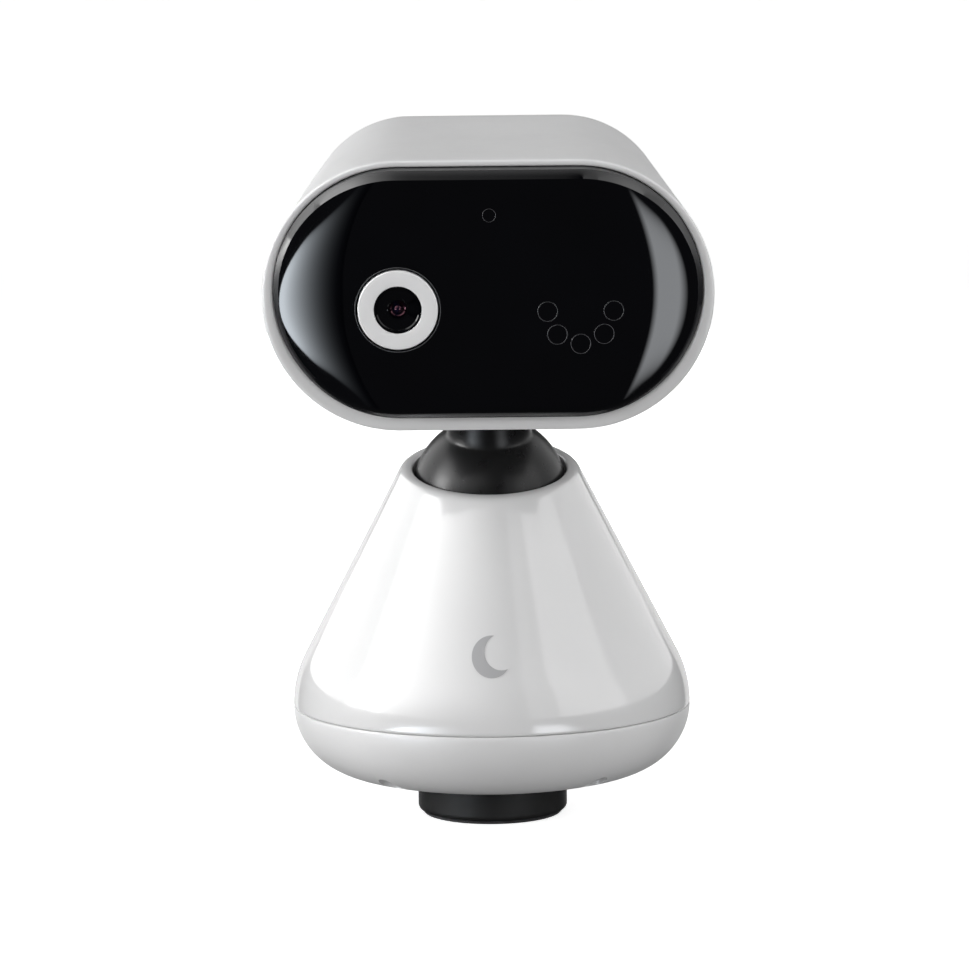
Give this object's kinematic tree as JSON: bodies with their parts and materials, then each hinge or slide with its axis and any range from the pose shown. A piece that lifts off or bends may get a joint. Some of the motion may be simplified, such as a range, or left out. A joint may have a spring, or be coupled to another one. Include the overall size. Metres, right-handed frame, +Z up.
{
  "type": "baby monitor camera",
  "caption": "Oval camera head with a domed dark visor on a ball joint, over a white cone base that pans on a round foot.",
  "frame": {"origin": "centre of the foot's underside, on the pan axis", "axes": "+Z up along the pan axis, the lens looks towards -Y, +X is the camera's left-hand side"},
  "size_m": [0.0902, 0.0863, 0.1462],
  "materials": {
    "shell_gloss": "gloss",
    "shell_satin": "satin",
    "ring_white": "satin",
    "button_grey": "satin",
    "mark_grey": "satin print",
    "black_satin": "satin",
    "visor_black": "high gloss",
    "frame_grey": "matte",
    "rubber_dark": "matte",
    "cable_grey": "matte",
    "steel": "brushed",
    "weight_iron": "cast",
    "brass": "turned",
    "bearing_white": "satin",
    "board_green": "solder mask",
    "chip_black": "matte",
    "heat_aluminium": "satin",
    "antenna_copper": "film",
    "lens_glass": "coated",
    "lamp_clear": "tinted",
    "sensor_clear": "tinted"
  },
  "bodies": {
    "foot": {"foot_shell": "black_satin", "foot_pad": "rubber_dark", "foot_weight": "weight_iron", "stand_insert": "brass", "pan_gear": "bearing_white", "hub_clip": "steel"},
    "base": {"base_lower_shell": "shell_satin", "base_upper_shell": "shell_gloss", "case_screws": "steel", "thrust_washer": "bearing_white", "pan_bush": "bearing_white", "ballast_ring": "weight_iron", "base_chassis": "frame_grey", "pan_motor": "steel", "motor_screws": "steel", "power_board": "board_green", "power_parts": "chip_black", "usb_socket": "steel", "board_screws": "steel", "speaker": "frame_grey", "socket_plate": "frame_grey", "plate_screws": "steel", "friction_spring": "steel", "front_mark": "mark_grey", "base_cable": "cable_grey"},
    "pinion": {"pan_pinion": "bearing_white", "motor_shaft": "steel"},
    "swivel": {"swivel_cup": "frame_grey", "tilt_pins": "steel", "swivel_clip": "steel"},
    "head": {"ball_stem": "black_satin", "stem_washer": "steel", "stem_nut": "brass", "head_housing": "shell_satin", "rear_cover": "shell_satin", "cover_screws": "steel", "visor": "visor_black", "front_frame": "frame_grey", "lens_ring": "ring_white", "lens_bezel": "visor_black", "lens_window": "lens_glass", "lens_barrel": "frame_grey", "lens_holder": "frame_grey", "sensor_board": "board_green", "lamp_board": "board_green", "infrared_lamps": "lamp_clear", "light_sensor": "sensor_clear", "main_board": "board_green", "main_parts": "chip_black", "heat_plate": "heat_aluminium", "antenna": "antenna_copper", "microphone": "steel", "button_board": "board_green", "head_cable": "cable_grey"},
    "button": {"pair_button": "button_grey"}
  },
  "joints": [
    {"name": "pan", "type": "hinge", "parent": "foot", "child": "base", "pos_m": [0, 0, 0.0125], "axis": [0, 0, 1], "range_deg": [-150, 150]},
    {"name": "pinion_spin", "type": "hinge", "parent": "base", "child": "pinion", "pos_m": [0.015, 0, 0.0175], "axis": [0, 0, 1], "range_deg": [-600, 600]},
    {"name": "swivel", "type": "hinge", "parent": "base", "child": "swivel", "pos_m": [0, -0.00076, 0.0678], "axis": [0, -0.2317, 0.9728], "range_deg": [-35, 35]},
    {"name": "tilt", "type": "hinge", "parent": "swivel", "child": "head", "pos_m": [0, -0.00076, 0.0678], "axis": [1, 0, 0], "range_deg": [-35, 28]},
    {"name": "pair_press", "type": "slide", "parent": "head", "child": "button", "axis": [0, -0.9945, -0.1045], "range_m": [0, 0.0008], "stiffness_N_per_m": 800, "springref_m": -0.0005}
  ],
  "couplings": [
    {"joint": "pinion_spin", "follows": "pan", "ratio": 4}
  ]
}
